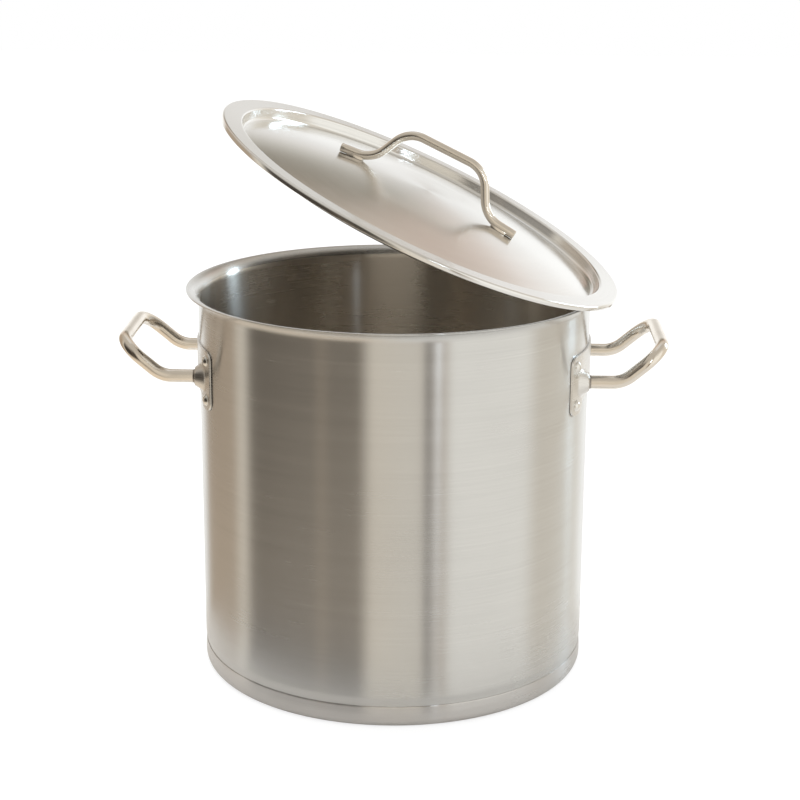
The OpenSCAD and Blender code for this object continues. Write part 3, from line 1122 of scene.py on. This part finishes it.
@dataclass
class Lid:
    """The lid and its rod handle, modelled shut and then tipped open."""

    radius: float = 197.0
    sheet: float = 1.0
    lip: float = 3.6
    well_depth: float = 10.5
    well_r_out: float = 177.5
    draft: float = 1.0
    well_bend: float = 4.0
    crown: float = 8.5
    edge_bend: float = 1.0
    rod_r: float = 4.0
    span: float = 177.0
    knees: float = 115.0
    grip: float = 77.0
    rise: float = 38.2
    knee_r: float = 27.0
    grip_r: float = 25.0
    rod_edge: float = 0.5
    bead: float = 0.8
    bead_edge: float = 0.35
    gap: float = 0.1
    pot_h: float = 360.0
    seat: float = 0.3
    hinge_r: float = 194.5
    hinge_drop: float = 19.5
    opened: float = 24.8
    turned: float = -6.8
    spun: float = -3.0

    @property
    def place(self) -> Matrix:
        """Takes the shut lid at the origin to where it lies on the rim."""
        hinge = Vector((self.hinge_r, 0.0, self.pot_h - self.hinge_drop))
        shut = Vector((-self.hinge_r, 0.0, self.seat + self.hinge_drop))
        return (Matrix.Rotation(math.radians(self.turned), 4, "Z") @ Matrix.Translation(hinge)
                @ Matrix.Rotation(math.radians(self.opened), 4, "Y") @ Matrix.Translation(shut)
                @ Matrix.Rotation(math.radians(self.spun), 4, "Z"))

    @property
    def floor_z(self) -> float:
        """Height of the well floor's upper face at its edge."""
        return self.sheet - self.well_depth

    @property
    def dome_r(self) -> float:
        """Radius at which the dome ends."""
        return self.well_r_out - self.sheet - self.well_bend

    def dome(self, r: float) -> float:
        """Height of the dome's upper face at a radius."""
        top = self.sheet + self.crown
        return top - (top - self.floor_z) * (r / self.dome_r) ** 2

    def panel(self) -> Mesh:
        """Makes the lid in one sheet, from the underside's middle round to the top's.

        Returns:
            Its mesh.
        """
        t, out, wall = self.sheet, self.radius, self.well_r_out
        rings = 28
        radii = [self.dome_r * i / rings for i in range(rings + 1)]
        profile = Profile(0.0, self.dome(0.0) - t)
        profile.through((r, self.dome(r) - t) for r in radii[1:])
        bend = self.well_bend
        profile.arc(self.dome_r, self.floor_z + bend, 90.0, 8)
        profile.line(wall + self.draft, -t, 3).arc(wall + self.draft + t, -t, -90.0, 6)
        edge = out - t - self.edge_bend
        inner, outer = wall + self.draft + t + EASE, edge - EASE / 2.0
        profile.line(inner, 0.0).line(outer, 0.0, 4).line(edge, 0.0)
        profile.arc(edge, -self.edge_bend, -90.0, 5)
        half = t / 2.0
        profile.line(out - t, half - self.lip).arc(out - half, half - self.lip, 180.0, 6)
        profile.line(out, -self.edge_bend)
        profile.arc(edge, -self.edge_bend, 90.0, 8)
        profile.line(outer, t).line(inner, t, 4)
        profile.line(wall + self.draft + t, t)
        profile.arc(wall + self.draft + t, -t, 90.0, 8)
        profile.line(wall - t, self.floor_z + bend, 3).arc(self.dome_r, self.floor_z + bend,
                                                          -90.0, 8)
        profile.through((r, self.dome(r)) for r in reversed(radii[:-1]))
        return profile.spun(320)

    @property
    def foot_r(self) -> float:
        """Distance of the middle of each foot from the lid's axis."""
        return (self.span + self.knees) / 4.0

    @property
    def foot_slope(self) -> float:
        """Slope of the dome under the middle of each foot, in radians."""
        drop = self.sheet + self.crown - self.floor_z
        return math.atan(drop * 2.0 * self.foot_r / self.dome_r ** 2)

    def rod(self) -> Mesh:
        """Makes the bent rod, from one foot's end to the other's.

        Returns:
            Its mesh.
        """
        tilt = self.foot_slope
        knee_z = (self.dome(self.foot_r) + (self.rod_r + self.gap) / math.cos(tilt)
                  + math.tan(tilt) * (self.foot_r - self.knees / 2.0))
        slope = math.atan(self.rise / ((self.knees - self.grip) / 2.0))
        turn = slope - tilt
        grip_cut = self.grip_r * math.tan(slope / 2.0)
        knee_cut = self.knee_r * math.tan(turn / 2.0)
        rise = math.hypot(self.rise, (self.knees - self.grip) / 2.0) - grip_cut - knee_cut
        foot = (self.span - self.knees) / 2.0 / math.cos(tilt) - knee_cut
        heading = Vector((math.cos(tilt), 0.0, math.sin(tilt)))
        start = Vector((-self.knees / 2.0, 0.0, knee_z)) - heading * (foot + knee_cut)
        pipe = Pipe(start, heading, self.rod_r)
        pipe.run(foot - EASE, 3).run(EASE).bend(Z_AXIS, self.knee_r, math.degrees(turn), 16)
        pipe.run(rise, 2).bend(-Z_AXIS, self.grip_r, math.degrees(slope), 18)
        pipe.eased(self.grip - 2.0 * grip_cut, 4)
        pipe.bend(-Z_AXIS, self.grip_r, math.degrees(slope), 18).run(rise, 2)
        pipe.bend(Z_AXIS, self.knee_r, math.degrees(turn), 16).run(EASE).run(foot - EASE, 3)
        bm = pipe.capped()
        rounded(bm, sharp_edges(bm, 1.0), self.rod_edge)
        return bm

    def beads(self) -> Mesh:
        """Makes the four fillet beads in the corners between the feet and the dome.

        Returns:
            Their mesh.
        """
        long = (self.span - self.knees) / 4.0
        r, foot_r = self.rod_r, self.foot_r
        made = []
        for s in (-1, 1):
            for flip in (-1, 1):
                bead = Profile(r / 2.0, 0.0).line(r + self.bead, 0.0, 2)
                bead.line(r, 2.0 * r / 3.0, 3).line(r / 2.0, 0.0, 2)
                bm = thickened(bead.filled(), (0.0, long, 0.0))
                rounded(bm, sharp_edges(bm, 0.7), self.bead_edge, 2)
                lay = (Matrix.Translation((s * foot_r, 0.0, self.dome(foot_r) + self.gap))
                       @ Matrix.Rotation(s * self.foot_slope, 4, "Y")
                       @ Matrix.Rotation(math.pi / 2.0, 4, "Z")
                       @ Matrix.Scale(flip, 4, X_AXIS)
                       @ Matrix.Translation((0.0, -long / 2.0, 0.0)))
                made.append(placed(bm, lay))
        return joined(made)

    def build(self, finishes: Finishes) -> None:
        """Makes the pieces.

        Args:
            finishes: Materials by name.
        """
        place = self.place
        piece(placed(self.panel(), place), "lid_sheet", finishes["circle_brushed_lid"], "lid",
              "lid_steel", "lid_panel")
        piece(placed(self.rod(), place), "lid_rod", finishes["polished_tube"], "lid",
              "lid_handle_steel", "lid_handle")
        piece(placed(self.beads(), place), "lid_rod_beads", finishes["polished_tube"], "lid",
              "weld_steel", "lid_handle_welds")


# ---------------------------------------------------------------- the studio


PALE = (1.15, 1.12, 1.05)
CREAM = (0.85, 0.78, 0.67)
BEIGE = (0.50, 0.40, 0.30)
BROWN = (0.15, 0.12, 0.09)
DARK = (0.06, 0.05, 0.04)
WHITE = (1.0, 1.0, 1.0)
CEILING = (0.62, 0.58, 0.52)
GROUND_LEFT = (0.97, 0.84, 0.68)
GROUND_RIGHT = (0.95, 0.92, 0.87)
TABLE = (0.85, 0.82, 0.78)
FLOOR = (0.30, 0.30, 0.30)

# Where one surface fades into the next. Up and across are the Z and X of the way that the steel
# looks, from -1 to 1; bearings are degrees to either side of the camera's side.
CEILING_FADE = (0.30, 0.80)         # up, from the walls to the ceiling
GROUND_FADE = (-0.30, -0.66)        # up, from the walls to the ground
GROUND_TINT_FADE = (-0.25, 0.15)    # across, from the ground's left tone to its right
REAR_FADE = (140.0, 156.0)          # bearing, from the panels to the rear wall's sides
REAR_MIDDLE_FADE = (161.0, 168.0)   # bearing, from the rear wall's sides to its middle


class Panel(NamedTuple):
    """An upright surface round the studio, in degrees from the camera's side, + to the right."""

    start: float
    end: float
    colour: Colour


PANELS = (
    Panel(-180.0, -155.0, PALE),      # back wall, left
    Panel(-140.0, -105.0, BEIGE),     # beige screen
    Panel(-98.0, -95.0, CREAM),       # daylight past the screen
    Panel(-88.0, -45.0, DARK),        # dark screen
    Panel(-42.0, -38.0, BROWN),       # gap between the screens
    Panel(-34.0, -18.0, DARK),        # second dark screen
    Panel(-10.0, 18.0, CREAM),        # front wall
    Panel(21.0, 23.0, BROWN),         # window post
    Panel(26.0, 30.0, BEIGE),         # window frame
    Panel(36.0, 84.0, PALE),          # window
    Panel(95.0, 130.0, CREAM),        # side wall
    Panel(155.0, 180.0, PALE))        # back wall, right

# Tones of the rear wall by how high the steel looks: 0.5 is level and 1 is straight up.
REAR_MIDDLE = (
    (0.30, (1.00, 0.98, 0.95)),
    (0.42, (1.15, 1.15, 1.13)),
    (0.565, (1.15, 1.15, 1.13)),
    (0.605, (0.95, 0.94, 0.92)),
    (0.640, (0.85, 0.82, 0.78)),
    (0.680, (0.60, 0.57, 0.51)),
    (0.711, (0.36, 0.33, 0.27)),
    (0.745, (0.20, 0.18, 0.14)),
    (0.785, (0.46, 0.38, 0.30)),
    (0.850, (0.80, 0.72, 0.63)),
    (0.950, (0.85, 0.84, 0.82)))
REAR_SIDES = (
    (0.565, (1.20, 1.20, 1.18)),
    (0.640, (1.02, 0.98, 0.94)),
    (0.700, (0.82, 0.69, 0.61)),
    (0.745, (0.62, 0.48, 0.40)),
    (0.850, (0.85, 0.76, 0.66)),
    (0.950, (0.85, 0.84, 0.82)))


def facing(bearing: float, height: float) -> Vector:
    """Gives the way from the pot to a point of the studio.

    Args:
        bearing: Degrees from the camera's side, positive to the right.
        height: Degrees above the horizon.

    Returns:
        The way, one metre long.
    """
    b, h = math.radians(bearing), math.radians(height)
    return Vector((math.sin(b) * math.cos(h), -math.cos(b) * math.cos(h), math.sin(h)))


@dataclass(frozen=True)
class Lamp:
    """A soft lamp that faces the pot; see facing() for its bearing and height."""

    name: str
    bearing: float
    height: float
    away: float
    size: tuple[float, float]
    power: float
    colour: Colour
    mirrored: bool = True

    def hang(self, aim: Vector) -> None:
        """Hangs the lamp.

        Args:
            aim: The point that it faces.
        """
        data = bpy.data.lights.new(self.name, "AREA")
        data.shape = "RECTANGLE"
        data.size, data.size_y = self.size
        data.energy = self.power
        data.color = self.colour
        made = bpy.data.objects.new(self.name, data)
        spot = aim + self.away * facing(self.bearing, self.height)
        made.location = spot
        made.rotation_euler = (spot - aim).to_track_quat("Z", "Y").to_euler()
        made.visible_glossy = self.mirrored
        bpy.context.scene.collection.objects.link(made)


LAMPS = (
    Lamp("window_right", bearing=122.0, height=16.0, away=2.4, size=(0.36, 1.2), power=10.0,
         colour=(0.66, 0.84, 1.0)),
    Lamp("window_front", bearing=26.5, height=17.0, away=2.4, size=(0.06, 0.8), power=2.4,
         colour=(0.78, 0.90, 1.0)),
    Lamp("overhead", bearing=-150.0, height=70.0, away=2.2, size=(1.6, 1.6), power=26.0,
         colour=WHITE, mirrored=False))


@dataclass
class Studio:
    """The floor, the surroundings that the steel mirrors, the lamps and the camera.

    Angles are in degrees, the lens and the sensor in millimetres, all else in metres.
    """

    eye: tuple[float, float, float] = (0.0670, -1.6717, 0.7280)
    yaw: float = 2.1
    pitch: float = 15.96
    roll: float = 0.315
    lens: float = 83.5
    sensor: float = 36.0
    reach: float = 100.0
    lamp_aim: float = 0.25
    floor_size: float = 12.0
    floor_low: float = 0.0004
    floor_glow: float = 0.78
    table_r: float = 0.27
    table_low: float = 0.0003

    def floor(self) -> None:
        """Lays the pale floor, which keeps the pot's shadow."""
        bm = bmesh.new()
        bmesh.ops.create_grid(bm, x_segments=1, y_segments=1, size=self.floor_size / 2.0,
                              matrix=Matrix.Translation(Z_AXIS * -self.floor_low))
        material, graph = new_material("pale_floor")
        matt = graph.node("ShaderNodeBsdfDiffuse", {"Color": opaque(FLOOR)})
        seen = graph.node("ShaderNodeLightPath").outputs["Is Camera Ray"]
        lift = graph.node("ShaderNodeEmission", {
            "Color": opaque(WHITE), "Strength": graph.math("MULTIPLY", seen, self.floor_glow)})
        graph.surface(graph.node("ShaderNodeAddShader", {0: matt.outputs[0], 1: lift.outputs[0]}))
        made = added(bm, "floor", material)
        made.visible_glossy = False

    def table(self) -> None:
        """Lays the pale disc that only the steel mirrors, close round the pot."""
        bm = bmesh.new()
        bmesh.ops.create_circle(bm, cap_ends=True, segments=96, radius=self.table_r,
                                matrix=Matrix.Translation(Z_AXIS * -self.table_low))
        material, graph = new_material("pale_table")
        graph.surface(graph.node("ShaderNodeBsdfDiffuse", {"Color": opaque(TABLE)}))
        made = added(bm, "table", material)
        made.visible_camera = made.visible_diffuse = made.visible_shadow = False

    def surroundings(self) -> None:
        """Makes the room that the steel mirrors: warm and dark at one side, pale at the other."""
        world = bpy.data.worlds.new("studio")
        bpy.context.scene.world = world
        world.use_nodes = True
        graph = emptied(world.node_tree)
        x, y, z = graph.split(graph.node("ShaderNodeTexCoord").outputs["Generated"])
        bearing = graph.math("ARCTAN2", x, graph.math("MULTIPLY", y, -1.0))
        aside = graph.math("ABSOLUTE", bearing)
        turn = graph.math("MULTIPLY_ADD", bearing, 1.0 / math.tau, 0.5)
        height = graph.math("MULTIPLY_ADD", z, 0.5, 0.5)

        room = graph.ramp(turn, [(end / 360.0 + 0.5, panel.colour)
                                 for panel in PANELS for end in (panel.start, panel.end)])
        room = graph.mix(graph.spread(z, *CEILING_FADE), room, opaque(CEILING))
        ground = graph.mix(graph.spread(x, *GROUND_TINT_FADE), opaque(GROUND_LEFT),
                           opaque(GROUND_RIGHT))
        room = graph.mix(graph.spread(z, *GROUND_FADE), room, ground)
        rear, middle = (graph.spread(aside, *(math.radians(d) for d in fade))
                        for fade in (REAR_FADE, REAR_MIDDLE_FADE))
        wall = graph.mix(middle, graph.ramp(height, REAR_SIDES), graph.ramp(height, REAR_MIDDLE))
        room = graph.mix(rear, room, wall)

        path = graph.node("ShaderNodeLightPath").outputs
        plain = graph.math("MAXIMUM", path["Is Camera Ray"], path["Is Diffuse Ray"])
        graph.surface(graph.node("ShaderNodeBackground",
                                 {"Color": graph.mix(plain, room, opaque(WHITE))}), "World")

    def camera(self) -> None:
        """Sets up the camera."""
        yaw, roll = math.radians(self.yaw), math.radians(self.roll)
        ahead = -facing(self.yaw, self.pitch)
        level = Vector((math.cos(yaw), math.sin(yaw), 0.0))
        upright = level.cross(ahead)
        right = math.cos(roll) * level + math.sin(roll) * upright
        up = math.cos(roll) * upright - math.sin(roll) * level
        data = bpy.data.cameras.new("camera")
        data.lens = self.lens
        data.sensor_width = self.sensor
        data.clip_end = self.reach
        made = bpy.data.objects.new("camera", data)
        turn = Matrix((right, up, -ahead)).transposed().to_4x4()
        made.matrix_world = Matrix.Translation(Vector(self.eye)) @ turn
        bpy.context.scene.collection.objects.link(made)
        bpy.context.scene.camera = made

    def build(self) -> None:
        """Sets up the whole studio."""
        self.floor()
        self.table()
        self.surroundings()
        for lamp in LAMPS:
            lamp.hang(Z_AXIS * self.lamp_aim)
        self.camera()
        bpy.context.scene.view_settings.view_transform = "Standard"


def main() -> None:
    """Builds the pot, its handles, its lid and the studio."""
    logging.basicConfig(level=logging.INFO, format="%(name)s: %(message)s")
    lid = Lid()
    shop = Shop(brush_group(), handling_group(), steel_group())
    finishes = {f.name: f.made(shop, lid.place)
                for f in (WALL, INSIDE, CAP, LID, TUBE, PLATE, RIVET, WELD_AND_PAINTED_SHADE, CORE)}
    Vessel().build(finishes)
    for side in Side:
        SideHandle(side).build(finishes)
    lid.build(finishes)
    Studio().build()


if __name__ == "__main__":
    main()
